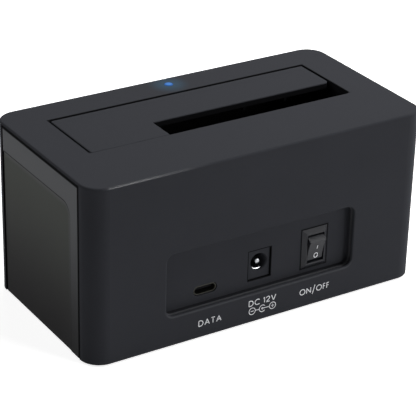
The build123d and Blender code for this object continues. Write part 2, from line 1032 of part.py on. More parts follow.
def drive_connector():
    half_x = connector_length / 2
    half_y = connector_width / 2
    body = block(
        connector_x - half_x, connector_x + half_x, connector_y - half_y, connector_y + half_y,
        board_top, connector_top,
    )
    high = connector_top + connector_post_extra
    for side in (-1, 1):
        outer = connector_x + side * half_x
        inner = outer - side * connector_post
        guide = block(
            min(outer, inner), max(outer, inner), connector_y - half_y, connector_y + half_y,
            board_top, high,
        )
        body += chamfer(guide.faces().sort_by(Axis.Z)[-1].edges(), connector_post_extra)
    for first, count in segment_starts():
        body -= connector_slot_cut(first, count)
    return body


def drive_contacts():
    """Spring contacts on the slots' front wall, one row of signal and one of power."""
    contacts = []
    low = connector_top - connector_slot_depth
    high = connector_top - drive_contact_short
    half = drive_contact_width / 2
    slot_wall = connector_y - connector_slot / 2
    contact_face = slot_wall + drive_contact_thickness
    for first, count in segment_starts():
        for index in range(count):
            x = first + index * drive_contact_pitch
            contacts.append(block(x - half, x + half, slot_wall, contact_face, low, high))
    return group(contacts)


# Data socket

def data_socket_shell():
    outline = stadium(socket_width, socket_height)
    inside = stadium(socket_width - socket_wall * 2, socket_height - socket_wall * 2)
    back = socket_front + socket_depth
    tube = port_plate(outline, socket_x, socket_z, socket_front, back)
    return tube - port_plate(inside, socket_x, socket_z, socket_front - over, back + over)


def data_socket_tongue():
    inside = stadium(socket_width - socket_wall * 2, socket_height - socket_wall * 2)
    back = socket_front + socket_depth
    plug = port_plate(inside, socket_x, socket_z, back - tongue_root, back)
    blade = RectangleRounded(tongue_width, tongue_thickness, tongue_corner)
    tip = back - tongue_root - tongue_length
    return plug + port_plate(blade, socket_x, socket_z, tip, back - tongue_root)


def data_socket_contacts():
    contacts = []
    back = socket_front + socket_depth - tongue_root
    first = socket_x - contact_pitch * (contact_count - 1) / 2
    half = contact_width / 2
    front = back - contact_length
    for index in range(contact_count):
        x = first + index * contact_pitch
        for side in (-1, 1):
            face = socket_z + side * tongue_thickness / 2
            out = face + side * contact_thickness
            contacts.append(block(x - half, x + half, front, back, min(face, out), max(face, out)))
    return group(contacts)


# Round power jack

def jack_lug_places():
    rear = jack_back + jack_lug_thickness / 2
    return rear, jack_front + jack_bore_depth + jack_lug_thickness


def power_jack_body():
    half = jack_width / 2
    top = board_top + jack_height
    body = block(jack_x - half, jack_x + half, jack_front, jack_front + jack_collar, board_top, top)
    body += block(jack_x - half, jack_x + half, jack_front, jack_back, board_top, jack_z)
    body += rod_y(jack_x, jack_z, half, jack_front + jack_collar, jack_back)
    body -= rod_y(jack_x, jack_z, jack_bore, jack_front - over, jack_front + jack_bore_depth)
    mouth = body.faces().sort_by(Axis.Y)[0].inner_wires()[0].edges()
    body = chamfer(mouth, jack_mouth_chamfer)
    body -= rod_y(jack_x, jack_z, jack_pin_shank, jack_front, jack_back + over)
    slot_left = jack_x - jack_lug_width / 2 - panel_fit
    slot_right = jack_x + jack_lug_width / 2 + panel_fit
    slot_front = jack_front + jack_collar
    slot_back = jack_front + jack_bore_depth + jack_lug_thickness * 2
    slot_low = board_top + jack_lug_thickness
    body -= block(slot_left, slot_right, slot_front, slot_back, slot_low, jack_z)
    lug_y = jack_lug_places()[1]
    lug_half = jack_lug_thickness / 2 + panel_fit
    body -= block(slot_left, slot_right, lug_y - lug_half, lug_y + lug_half, board_top - over, jack_z)
    return body


def power_jack_pin():
    bore_end = jack_front + jack_bore_depth
    pin = rod_y(jack_x, jack_z, jack_pin_radius, jack_front + jack_pin_short, bore_end)
    tip = pin.faces().sort_by(Axis.Y)[0]
    pin = fillet(tip.edges(), jack_pin_nose)
    half = jack_lug_width / 2
    low = board_bottom - jack_lug_below
    lug = block(
        jack_x - half, jack_x + half, jack_back, jack_back + jack_lug_thickness, low,
        jack_z + jack_pin_radius,
    )
    return pin + rod_y(jack_x, jack_z, jack_pin_shank, bore_end - root, jack_back + root) + lug


def power_jack_spring():
    """A bent strip that presses up into the bore, with its lug through the board."""
    lug_y = jack_lug_places()[1]
    thick = jack_lug_thickness / 2
    back = lug_y + thick
    front = jack_front + jack_collar + panel_fit
    low = board_bottom - jack_lug_below
    bend_z = jack_z - jack_bore - jack_lug_thickness
    crest_z = jack_z - jack_bore + thick
    crest_y = (front + back) / 2 - jack_lug_thickness
    outline = Polyline(
        (back, low),
        (back, bend_z + thick),
        (crest_y, crest_z + thick),
        (front, bend_z + thick),
        (front, bend_z),
        (crest_y, crest_z),
        (back - jack_lug_thickness, bend_z),
        (back - jack_lug_thickness, low),
        close=True,
    )
    half = jack_lug_width / 2
    return side_plate(make_face(outline), jack_x - half, jack_x + half)


# Rocker switch

def switch_wings():
    """Spring wedges at the body's two ends that grip behind the panel."""
    shapes = []
    start = panel_back
    for side in (-1, 1):
        inner = switch_z + side * (switch_body_height / 2 - root)
        out = switch_z + side * (switch_body_height / 2 + wing_thickness)
        outline = Polyline((start, inner), (start, out), (start + wing_length, inner), close=True)
        half = switch_body_width / 4
        shapes.append(side_plate(make_face(outline), switch_x - half, switch_x + half))
    return shapes


def switch_frame():
    bevel = math.degrees(math.atan(bezel_slope / bezel_proud))
    bezel = extrude(Rectangle(bezel_width, bezel_height), bezel_proud, taper=bevel)
    body = Plane.XZ.offset(-recess_floor) * Pos(switch_x, switch_z) * bezel
    outline = Rectangle(switch_body_width, switch_body_height)
    body += port_plate(outline, switch_x, switch_z, recess_floor, switch_back)
    body += switch_wings()
    cavity = Rectangle((rocker_half_width + rocker_side_gap) * 2, rocker_opening_half * 2)
    body -= port_plate(cavity, switch_x, switch_z, bezel_front - over, pivot_y + rocker_cavity_back)
    hole = trunnion_radius + trunnion_running
    body -= rod_x(pivot_y, switch_z, hole, switch_x - switch_body_width, switch_x + switch_body_width)
    for side in (-1, 1):
        slot = Rectangle(blade_width, blade_thickness)
        z = switch_z + side * blade_spread
        body -= port_plate(slot, switch_x, z, pivot_y, switch_back + over)
    return body


def rocker_profile():
    """Seen from the side at rest in the middle: a dished face, a wedge body and a nub."""
    face = pivot_y - rocker_face_out
    dish = face + rocker_dish
    half = rocker_half_height
    shoulder = pivot_y - rocker_shoulder
    belly = pivot_y + rocker_belly
    nub = rocker_nub
    nub_end = pivot_y + rocker_cavity_back - rocker_nub_gap
    z = switch_z
    top = ThreePointArc((face, z - half), (dish, z), (face, z + half))
    rest = Polyline(
        (face, z + half),
        (shoulder, z + rocker_shoulder_half),
        (belly, z + nub * 2),
        (belly, z + nub),
        (nub_end, z + rocker_nub_tip),
        (nub_end, z - rocker_nub_tip),
        (belly, z - nub),
        (belly, z - nub * 2),
        (shoulder, z - rocker_shoulder_half),
        (face, z - half),
    )
    return make_face(top + rest)


def rocker():
    body = side_plate(rocker_profile(), switch_x - rocker_half_width, switch_x + rocker_half_width)
    outer = body.faces().filter_by(GeomType.CYLINDER).sort_by(Axis.Y)[0]
    body = fillet(outer.edges(), rocker_edge_fillet)
    reach = rocker_half_width + trunnion_length
    body += rod_x(pivot_y, switch_z, trunnion_radius, switch_x - reach, switch_x + reach)
    pivot = Axis((switch_x, pivot_y, switch_z), (1, 0, 0))
    return body.rotate(pivot, rocker_tilt)


def switch_terminals():
    blades = []
    start = pivot_y + rocker_cavity_back - blade_inside
    for side in (-1, 1):
        z = switch_z + side * blade_spread
        outline = Rectangle(blade_width, blade_thickness)
        blades.append(port_plate(outline, switch_x, z, start, switch_back + blade_out))
    return group(blades)


def switch_lead(side, run):
    """One lead: sideways from its blade, then down to the board."""
    y = switch_back + blade_out - lead_from_blade_end
    z = switch_z + side * blade_spread
    start = (switch_x + blade_width / 2, y, z)
    bend = (switch_x + blade_width / 2 + run, y, z)
    end = (switch_x + blade_width / 2 + run, y, board_top)
    path = FilletPolyline(start, bend, end, radius=lead_bend)
    section = Plane(origin=start, z_dir=(1, 0, 0)) * Circle(lead_radius)
    return sweep(section, path=path)


def switch_leads():
    return group([switch_lead(1, upper_lead_run), switch_lead(-1, lower_lead_run)])


# Write one file for each sub-part

def build():
    cover = side_cover()
    spring = flap_spring(inner_knuckle + knuckle_length + spring_from_knuckle)
    return {
        "housing_shell": housing_shell(),
        "side_cover_left": cover,
        "side_cover_right": mirrored(cover),
        "base_plate": base_plate(),
        "rubber_feet": rubber_feet(),
        "base_screws": base_screws(),
        "port_panel": port_panel(),
        "bay_liner": bay_liner(),
        "liner_screws": liner_screws(),
        "flap": flap(),
        "hinge_pin": hinge_pin(),
        "flap_spring_left": mirrored(spring),
        "flap_spring_right": spring,
        "main_board": main_board(),
        "board_screws": board_screws(),
        "bridge_chip": bridge_chip(),
        "memory_chip": small_chip(memory_place),
        "regulator_chip": small_chip(regulator_place),
        "crystal": crystal(),
        "inductors": inductors(),
        "capacitors": capacitors(),
        "indicator_led": indicator_led(),
        "light_pipe": light_pipe(),
        "drive_connector": drive_connector(),
        "drive_contacts": drive_contacts(),
        "data_socket_shell": data_socket_shell(),
        "data_socket_tongue": data_socket_tongue(),
        "data_socket_contacts": data_socket_contacts(),
        "power_jack_body": power_jack_body(),
        "power_jack_pin": power_jack_pin(),
        "power_jack_spring": power_jack_spring(),
        "switch_frame": switch_frame(),
        "rocker": rocker(),
        "switch_terminals": switch_terminals(),
        "switch_leads": switch_leads(),
    }


os.makedirs("parts", exist_ok=True)
for name, shape in build().items():
    save(name, shape)
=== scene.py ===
import json
import math

import bmesh
import bpy
from mathutils import Matrix, Vector
from mathutils.bvhtree import BVHTree


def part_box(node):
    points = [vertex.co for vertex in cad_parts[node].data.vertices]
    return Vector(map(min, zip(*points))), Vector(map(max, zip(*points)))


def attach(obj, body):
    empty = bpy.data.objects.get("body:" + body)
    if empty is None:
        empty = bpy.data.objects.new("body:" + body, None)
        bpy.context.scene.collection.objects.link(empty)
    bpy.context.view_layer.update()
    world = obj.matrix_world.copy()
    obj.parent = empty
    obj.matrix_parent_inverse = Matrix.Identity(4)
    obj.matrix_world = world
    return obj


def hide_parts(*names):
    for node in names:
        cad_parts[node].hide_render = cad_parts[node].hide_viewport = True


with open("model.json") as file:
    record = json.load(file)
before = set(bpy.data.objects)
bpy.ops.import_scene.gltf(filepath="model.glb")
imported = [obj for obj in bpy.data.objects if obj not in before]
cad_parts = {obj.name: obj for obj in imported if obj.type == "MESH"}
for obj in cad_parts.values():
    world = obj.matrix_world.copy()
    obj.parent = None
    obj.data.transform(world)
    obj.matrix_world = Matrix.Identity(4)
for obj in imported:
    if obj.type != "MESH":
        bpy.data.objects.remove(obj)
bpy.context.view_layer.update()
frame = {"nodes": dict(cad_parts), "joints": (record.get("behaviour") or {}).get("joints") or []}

# A hard drive docking station in metres, in the frame of its solids.
# X runs along the long side, -Y is the ports' side, +Y the indicator light's side, +Z is up.
MM = 0.001

# Sizes of the part that no solid's box gives
CORNER_RADIUS = 7.5 * MM
LIGHT_RADIUS = 1.6 * MM
HINGE_BEHIND_OPENING = 1.9 * MM
FLAP_FRONT_GAP = 0.25 * MM
OPENING_HALF_X = 52.8 * MM
WINDOW_HALF_X = 38.25 * MM
WINDOW_HALF_Z = 11.8 * MM
WINDOW_Z = 23.8 * MM
WINDOW_CORNER = 3.0 * MM
WINDOW_FILLET = 0.7 * MM
WELL_DEPTH = 3.4 * MM
ROCKER_TILT = math.radians(14)

# Places and sizes read from the solids
shell_low, shell_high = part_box("housing_shell")
cover_low, cover_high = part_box("side_cover_left")
flap_low, flap_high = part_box("flap")
jack_low, jack_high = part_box("power_jack_body")
socket_low, socket_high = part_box("data_socket_shell")
switch_low, switch_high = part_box("switch_frame")
light_low, light_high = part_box("light_pipe")
joints = {joint["name"]: Vector(joint["pos_m"]) for joint in frame["joints"]}
object_height = shell_high.z
port_face = shell_low.y
jack_x = (jack_low.x + jack_high.x) / 2
jack_z = (jack_low.z + jack_high.z) / 2
socket_x = (socket_low.x + socket_high.x) / 2
switch_x = (switch_low.x + switch_high.x) / 2
switch_z = (switch_low.z + switch_high.z) / 2
light_x = (light_low.x + light_high.x) / 2
light_y = (light_low.y + light_high.y) / 2
opening_front = flap_low.y - FLAP_FRONT_GAP
opening_rear = joints["flap_hinge"].y - HINGE_BEHIND_OPENING
opening_y = (opening_front + opening_rear) / 2
opening_half_y = (opening_rear - opening_front) / 2
window_foot = WINDOW_Z - WINDOW_HALF_Z
well_floor = port_face + WELL_DEPTH

# The camera's place, from the photo's outline
VIEW_AZIMUTH = math.radians(-32.56)
VIEW_HEIGHT_ANGLE = math.radians(26.59)
VIEW_ROLL = math.radians(1.45)
VIEW_DISTANCE = 644.9 * MM
VIEW_LENS = 156.75
VIEW_SENSOR = 36.0
VIEW_RIGHT = -0.52 * MM
VIEW_UP = -3.66 * MM
VIEW_NEAREST = 10 * MM
VIEW_FARTHEST = 20.0


# Shader maths written as expressions

class Value:
    """A shader socket that takes part in Python expressions."""

    def __init__(self, tree, socket):
        self.tree = tree
        self.socket = socket

    def node(self, kind, settings=None, **sockets):
        """Add a node of a type with its settings, then fill or link its sockets by name or number."""
        made = self.tree.nodes.new(kind)
        for key, setting in (settings or {}).items():
            setattr(made, key, setting)
        for key, value in sockets.items():
            place = int(key[1:]) if key[0] == "i" and key[1:].isdigit() else key.replace("_", " ")
            self.fill(made.inputs[place], value)
        return made

    def fill(self, place, value):
        if isinstance(value, Value):
            self.tree.links.new(value.socket, place)
        else:
            place.default_value = value

    def out(self, made, name=0):
        return Value(self.tree, made.outputs[name])

    def maths(self, operation, first, second=0.0, third=0.0, clamp=False):
        settings = {"operation": operation, "use_clamp": clamp}
        return self.out(self.node("ShaderNodeMath", settings, i0=first, i1=second, i2=third))

    def __add__(self, other):
        return self.maths("ADD", self, other)

    __radd__ = __add__

    def __sub__(self, other):
        return self.maths("SUBTRACT", self, other)

    def __rsub__(self, other):
        return self.maths("SUBTRACT", other, self)

    def __mul__(self, other):
        return self.maths("MULTIPLY", self, other)

    __rmul__ = __mul__

    def __truediv__(self, other):
        return self.maths("DIVIDE", self, other)

    def magnitude(self):
        return self.maths("ABSOLUTE", self)

    def above(self, low):
        return self.maths("MAXIMUM", self, low)

    def below(self, high):
        return self.maths("MINIMUM", self, high)

    def root(self):
        return self.maths("SQRT", self)

    def smooth(self, low, high):
        """Rise from 0 at low to 1 at high with soft ends."""
        settings = {"interpolation_type": "SMOOTHSTEP"}
        made = self.node("ShaderNodeMapRange", settings, Value=self, From_Min=low, From_Max=high)
        return self.out(made, "Result")


def linear(red, green, blue):
    """A colour given as it shows on a screen, 0 to 255, as the shader wants it."""
    def channel(level):
        share = level / 255
        return share / 12.92 if share <= 0.04045 else ((share + 0.055) / 1.055) ** 2.4
    return (channel(red), channel(green), channel(blue), 1.0)


def scaled(colour, share):
    return (colour[0] * share, colour[1] * share, colour[2] * share, 1.0)


class Finish:
    """A material with its Principled shader and the coordinates that its patterns read."""

    def __init__(self, name):
        self.material = bpy.data.materials.new(name)
        self.material.use_nodes = True
        self.tree = self.material.node_tree
        self.shader = self.tree.nodes["Principled BSDF"]
        self.maker = Value(self.tree, None)
        coordinates = self.maker.node("ShaderNodeTexCoord")
        self.place = self.maker.out(coordinates, "Object")
        split = self.maker.node("ShaderNodeSeparateXYZ", Vector=self.place)
        self.x = self.maker.out(split, "X")
        self.y = self.maker.out(split, "Y")
        self.z = self.maker.out(split, "Z")

    def set(self, **values):
        for key, value in values.items():
            self.maker.fill(self.shader.inputs[key.replace("_", " ")], value)

    def given(self, socket):
        """What feeds one of the shader's sockets so far."""
        return Value(self.tree, self.shader.inputs[socket].links[0].from_socket)

    def noise(self, size, detail=2.0):
        made = self.maker.node("ShaderNodeTexNoise", Vector=self.place, Scale=1 / size, Detail=detail)
        return self.maker.out(made, "Fac")

    def grain(self, size):
        """Distance to the nearest of many scattered points, as in spark-eroded moulds."""
        made = self.maker.node("ShaderNodeTexVoronoi", Vector=self.place, Scale=1 / size)
        return self.maker.out(made, "Distance")

    def blend(self, share, first, second):
        settings = {"data_type": "RGBA"}
        made = self.maker.node("ShaderNodeMix", settings, i0=share, i6=first, i7=second)
        return self.maker.out(made, 2)

    def bump(self, height, strength, distance):
        made = self.maker.node("ShaderNodeBump", Height=height, Strength=strength, Distance=distance)
        self.set(Normal=self.maker.out(made, "Normal"))


# Finishes

BLACK = linear(48, 49, 53)
# Near black for painted shade in creases and gaps, and for the bay's liner as painted shade
PAINTED_SHADE_BLACK = linear(9, 9, 10)
# Paler grey for the painted highlight on the port window's lower edge and painted light on the well's
# walls
PAINTED_HIGHLIGHT_GREY = linear(76, 77, 80)
NO_LIGHT = (0, 0, 0, 1)
WHITE = (1, 1, 1, 1)

# The grain of moulded plastic
CLOUD_SIZE = 14 * MM
SPECK_SIZE = 0.5 * MM
PIT_SIZE = 0.22 * MM
PIT_DEPTH = 0.012 * MM
PLASTIC_DULLEST = 0.86
PLASTIC_PALEST = 1.14
PLASTIC_GLOSS = 0.02
PLASTIC_ROUGHNESS = 0.66


def moulded_plastic(name, colour, roughness=PLASTIC_ROUGHNESS, gloss=PLASTIC_GLOSS):
    """Plastic from a spark-eroded mould, with fine grain and faint clouds of tone and roughness."""
    finish = Finish(name)
    clouds = finish.noise(CLOUD_SIZE, detail=3.0)
    specks = finish.noise(SPECK_SIZE)
    pits = finish.grain(PIT_SIZE)
    mottle = clouds * 0.5 + specks * 0.5
    tone = finish.blend(mottle, scaled(colour, PLASTIC_DULLEST), scaled(colour, PLASTIC_PALEST))
    finish.set(Base_Color=tone, Specular_IOR_Level=gloss, IOR=1.5)
    finish.set(Roughness=roughness - 0.04 + clouds * 0.08)
    finish.bump(pits * 0.7 + specks * 0.3, 0.35, PIT_DEPTH)
    return finish


def brushed_metal(name, colour, roughness=0.32):
    """Plated metal with faint drawing lines and dull clouds."""
    finish = Finish(name)
    clouds = finish.noise(2.5 * MM, detail=4.0)
    lines = finish.noise(0.25 * MM)
    tone = finish.blend(clouds, scaled(colour, 0.82), scaled(colour, 1.1))
    finish.set(Base_Color=tone, Metallic=1.0, Roughness=roughness - 0.08 + clouds * 0.16)
    finish.bump(lines, 0.25, 0.01 * MM)
    return finish


def circuit_board():
    """Green solder mask with tracks under it."""
    finish = Finish("board_finish")
    made = finish.maker.node(
        "ShaderNodeTexBrick", {"offset": 0.5}, Vector=finish.place, Scale=1 / (9 * MM),
        Mortar_Size=0.04, Brick_Width=1.3, Row_Height=0.3,
    )
    tracks = finish.maker.out(made, "Fac")
    clouds = finish.noise(6 * MM)
    mask = linear(20, 84, 46)
    tone = finish.blend(tracks, mask, linear(44, 116, 66))
    tone = finish.blend(clouds * 0.3, tone, scaled(mask, 0.7))
    finish.set(Base_Color=tone, Roughness=0.32 + clouds * 0.1, Coat_Weight=0.3, Coat_Roughness=0.2)
    finish.bump(tracks, 0.4, 0.03 * MM)
    return finish


def distance_from_light(finish, reach):
    """How far a point lies from the light pipe's middle, as a share of a reach."""
    across = (finish.x - light_x) / reach
    along = (finish.y - light_y) / reach
    return (across * across + along * along).root()


def glowing_plastic(name, core, edge, strength):
    """Clear blue light pipe, brightest in the middle of its round face."""
    finish = Finish(name)
    rim = distance_from_light(finish, LIGHT_RADIUS).smooth(0.35, 1.0)
    swirl = finish.noise(0.9 * MM)
    tone = finish.blend(rim, core, edge)
    tone = finish.blend(swirl * 0.25, tone, edge)
    finish.set(Base_Color=finish.blend(swirl, linear(8, 30, 60), linear(14, 44, 84)))
    finish.set(Emission_Color=tone, Emission_Strength=strength, Specular_IOR_Level=0.1)
    finish.set(Roughness=0.5 + swirl * 0.08)
    return finish


def printed_ink(name, colour):
    """Pad-printed ink with a faint break-up where it sits on the grain."""
    finish = Finish(name)
    specks = finish.noise(0.35 * MM, detail=3.0)
    tone = finish.blend(specks, scaled(colour, 0.82), colour)
    finish.set(Base_Color=tone, Roughness=0.5 + specks * 0.1)
    finish.bump(specks, 0.2, 0.01 * MM)
    return finish


def rubber():
    finish = Finish("rubber_finish")
    clouds = finish.noise(3 * MM)
    specks = finish.grain(0.6 * MM)
    finish.set(Base_Color=finish.blend(clouds, linear(38, 38, 40), linear(52, 52, 54)))
    finish.set(Roughness=0.8 - clouds * 0.1, Specular_IOR_Level=0.3)
    finish.bump(specks, 0.3, 0.04 * MM)
    return finish


# Masks for painted shade in creases, a polished rim and painted light on edges, from 0 to 1

# Width and strength of the painted shade in creases
PAINTED_SHADE_WIDTH = 0.55 * MM
PAINTED_SHADE_STRENGTH = 0.92
CREASE_ROUGHNESS = 0.25


def box_distance(first, first_half, second, second_half):
    """Distance outside a rectangle, negative inside it."""
    return (first.magnitude() - first_half).above(second.magnitude() - second_half)


def window_distance(finish):
    """Distance outside the port window's rounded outline, at least minus its corner radius."""
    past_x = (finish.x.magnitude() - (WINDOW_HALF_X - WINDOW_CORNER)).above(0.0)
    past_z = ((finish.z - WINDOW_Z).magnitude() - (WINDOW_HALF_Z - WINDOW_CORNER)).above(0.0)
    return (past_x * past_x + past_z * past_z).root() - WINDOW_CORNER


def crease(distance, width):
    """A mask for painted shade: 1 on and inside an edge, fading out over a width past it."""
    return 1 - distance.smooth(width * 0.4, width)


RIM_WIDTH = 0.8 * MM
RIM_START = 2.4 * RIM_WIDTH
RIM_COAT = 0.5
RUBBED_LENGTH = 40 * MM


def polished_rim(finish):
    """1 on the stretch of the long walls' upper edge that a hand polishes, next to one end."""
    corner = shell_low.x + CORNER_RADIUS
    from_end = finish.x.smooth(corner - RIM_START, corner)
    along = from_end * (1 - finish.x.smooth(corner, corner + RUBBED_LENGTH))
    outward = finish.y.magnitude().smooth(shell_high.y - RIM_WIDTH, shell_high.y - RIM_WIDTH / 3)
    upward = finish.z.smooth(object_height - RIM_WIDTH * 1.1, object_height - RIM_WIDTH / 2)
    return along * outward * upward


# Painted highlight on the window's lower edge and painted light on the front of the well's walls
SILL_HIGHLIGHT_STRENGTH = 0.42
WELL_LIGHT_STRENGTH = 0.8
WELL_LIT_FROM = 1.5 * MM
WELL_LIT_TO = 1.0 * MM


def sill_painted_highlight(finish):
    """1 on the window's rounded lower edge, where a highlight is painted."""
    out = window_distance(finish)
    inner = out.smooth(WINDOW_FILLET * 0.2, WINDOW_FILLET * 0.5)
    across = inner * (1 - out.smooth(WINDOW_FILLET, WINDOW_FILLET * 1.3))
    below = 1 - finish.z.smooth(window_foot, window_foot + WINDOW_CORNER)
    at_face = 1 - finish.y.smooth(port_face + WINDOW_FILLET * 0.8, port_face + WINDOW_FILLET * 1.2)
    return across * below * at_face


def well_painted_light(finish):
    """1 on the front of the well's walls, where light is painted."""
    at_wall = window_distance(finish).smooth(-0.2 * MM, -0.05 * MM)
    return at_wall * (1 - finish.y.smooth(well_floor - WELL_LIT_FROM, well_floor - WELL_LIT_TO))


COVER_SEAM = 0.45 * MM
COVER_TOP_SEAM = 0.5 * MM
COVER_REBATE_FROM = 3.0 * MM
COVER_REBATE_TO = 2.4 * MM


def housing_painted_shade(finish):
    """Painted shade where the shell turns into the bay opening and into the side covers' seams."""
    outside = box_distance(finish.x, OPENING_HALF_X, finish.y - opening_y, opening_half_y)
    behind_front = finish.y.smooth(opening_front - PAINTED_SHADE_WIDTH, opening_front + PAINTED_SHADE_WIDTH)
    opening = crease(outside, PAINTED_SHADE_WIDTH) * behind_front
    past_edge = finish.y.magnitude() - (cover_high.y + COVER_SEAM)
    rebate = past_edge.above(finish.z - (cover_high.z + COVER_TOP_SEAM))
    at_side = finish.x.magnitude().smooth(
        shell_high.x - COVER_REBATE_FROM, shell_high.x - COVER_REBATE_TO
    )
    return opening.above(crease(rebate, PAINTED_SHADE_WIDTH) * at_side)


def flap_painted_shade(finish):
    """Painted shade on the flap's edges and underside, which stay in the dark of the bay."""
    below_top = 1 - finish.z.smooth(flap_high.z - 0.5 * MM, flap_high.z - 0.15 * MM)
    to_shell = (opening_rear - finish.y).below(OPENING_HALF_X - finish.x.magnitude())
    return below_top.above(1 - to_shell.smooth(0.3 * MM, PAINTED_SHADE_WIDTH * 1.4))


JACK_FIT = 0.15 * MM
# Widths and strength of the painted shade round the jack and the switch and at the well's foot
JACK_SHADE_WIDTH = 0.45 * MM
SWITCH_SHADE_WIDTH = 0.75 * MM
WELL_SHADE = 0.35 * MM
WELL_SHADE_STRENGTH = 0.6
WELL_SHADE_FROM = 1.4 * MM
WELL_SHADE_TO = 1.0 * MM


def panel_painted_shade(finish):
    """Painted shade in thin lines round the switch and the power jack, and in a line at the well's foot.
    """
    switch_half_x = (switch_high.x - switch_low.x) / 2
    switch_half_z = (switch_high.z - switch_low.z) / 2
    switch = box_distance(finish.x - switch_x, switch_half_x, finish.z - switch_z, switch_half_z)
    jack_half_x = (jack_high.x - jack_low.x) / 2 + JACK_FIT
    jack_half_z = (jack_high.z - jack_low.z) / 2 + JACK_FIT
    jack = box_distance(finish.x - jack_x, jack_half_x, finish.z - jack_z, jack_half_z)
    at_back = finish.y.smooth(well_floor - WELL_SHADE_FROM, well_floor - WELL_SHADE_TO)
    foot = crease(finish.z - window_foot, WELL_SHADE) * at_back
    round_parts = crease(switch, SWITCH_SHADE_WIDTH).above(crease(jack, JACK_SHADE_WIDTH))
    return round_parts.above(foot * WELL_SHADE_STRENGTH)


# Finishes that have such masks

# The indicator's blue light, painted on the top round the light pipe
PAINTED_INDICATOR_LIGHT_RADIUS = 8.6 * MM
PAINTED_INDICATOR_LIGHT = linear(27, 76, 99)


def housing_finish_with_painted_light():
    """The shell's plastic, with painted shade in its creases, a painted highlight on the window's lower
    edge, a polished stretch of rim and the indicator's light painted as a small blue ring round the
    light pipe.
    """
    finish = moulded_plastic("housing_finish_with_painted_light", BLACK)
    # Painted shade in the creases
    creases = housing_painted_shade(finish)
    tone = finish.blend(creases * PAINTED_SHADE_STRENGTH, finish.given("Base Color"), PAINTED_SHADE_BLACK)
    # Painted highlight on the window's lower edge
    tone = finish.blend(sill_painted_highlight(finish) * SILL_HIGHLIGHT_STRENGTH, tone, PAINTED_HIGHLIGHT_GREY)
    finish.set(Base_Color=tone, Roughness=finish.given("Roughness") + creases * CREASE_ROUGHNESS)
    finish.set(Coat_Weight=polished_rim(finish) * RIM_COAT, Coat_Roughness=0.16)
    # Painted light: the indicator's blue glow on the top round the light pipe
    glow = 1 - distance_from_light(finish, PAINTED_INDICATOR_LIGHT_RADIUS).smooth(0.1, 1.0)
    on_top = finish.z.smooth(object_height - 0.6 * MM, object_height - 0.1 * MM)
    finish.set(Emission_Color=finish.blend(glow * on_top, NO_LIGHT, PAINTED_INDICATOR_LIGHT), Emission_Strength=0.5)
    return finish


def plastic_with_painted_shade(name, colour, dark):
    """Moulded plastic with painted shade: a mask turns it near black in its creases."""
    finish = moulded_plastic(name, colour)
    tone = finish.blend(dark(finish) * PAINTED_SHADE_STRENGTH, finish.given("Base Color"), PAINTED_SHADE_BLACK)
    finish.set(Base_Color=tone)
    return finish


def panel_finish_with_painted_light():
    """The port panel's plastic, with painted shade in its joints and painted light on the front of the
    well's walls.
    """
    finish = plastic_with_painted_shade("panel_finish_with_painted_light", BLACK, panel_painted_shade)
    # Painted light on the front of the well's walls
    tone = finish.blend(well_painted_light(finish) * WELL_LIGHT_STRENGTH, finish.given("Base Color"), PAINTED_HIGHLIGHT_GREY)
    finish.set(Base_Color=tone)
    return finish


COVER_BLACK = linear(45, 46, 49)
PANEL_FROM_EDGE = 5.4 * MM
PANEL_FROM_TOP = 8.7 * MM
PANEL_CORNER = 4.5 * MM
# Colours of the panel and the band at the foot and at the top: lighter towards the top as painted light
PANEL_SHADED = linear(46, 45, 45)
PANEL_LIT = linear(82, 84, 80)
BAND_SHADED = linear(47, 47, 47)
BAND_LIT = linear(102, 103, 105)
COVER_TINT = 0.75


def cover_finish_with_painted_light():
    """The side cover, lighter towards the top as painted light, with a band paler than the panel, and
    painted shade on its edges and in a line round the panel.
    """
    finish = moulded_plastic("cover_finish_with_painted_light", COVER_BLACK)
    inward = (cover_high.y - finish.y.magnitude()).below(cover_high.z - finish.z)
    edge = 1 - inward.smooth(0.1 * MM, PAINTED_SHADE_WIDTH)
    front = cover_low.y + PANEL_FROM_EDGE + PANEL_CORNER
    panel_top = cover_high.z - PANEL_FROM_TOP
    past_y = (front - finish.y).above(0.0)
    past_z = (finish.z - (panel_top - PANEL_CORNER)).above(0.0)
    out = (past_y * past_y + past_z * past_z).root() - PANEL_CORNER
    on_band = out.smooth(-2.4 * MM, 0.8 * MM)
    line = 1 - out.magnitude().smooth(0.2 * MM, 0.55 * MM)
    upper = finish.z.smooth(panel_top - PANEL_CORNER, panel_top)
    # Painted light: the colour grows lighter towards the top
    height = (finish.z / cover_high.z).smooth(0.0, 0.95)
    panel = finish.blend(height, PANEL_SHADED, PANEL_LIT)
    band = finish.blend(height, BAND_SHADED, BAND_LIT)
    tone = finish.blend(COVER_TINT, finish.given("Base Color"), finish.blend(on_band, panel, band))
    # Painted shade on the cover's edges and in the line round the panel, strongest along its top
    dark = edge.above(line * (0.25 + upper * 0.6))
    finish.set(Base_Color=finish.blend(dark * PAINTED_SHADE_STRENGTH, tone, PAINTED_SHADE_BLACK))
    return finish


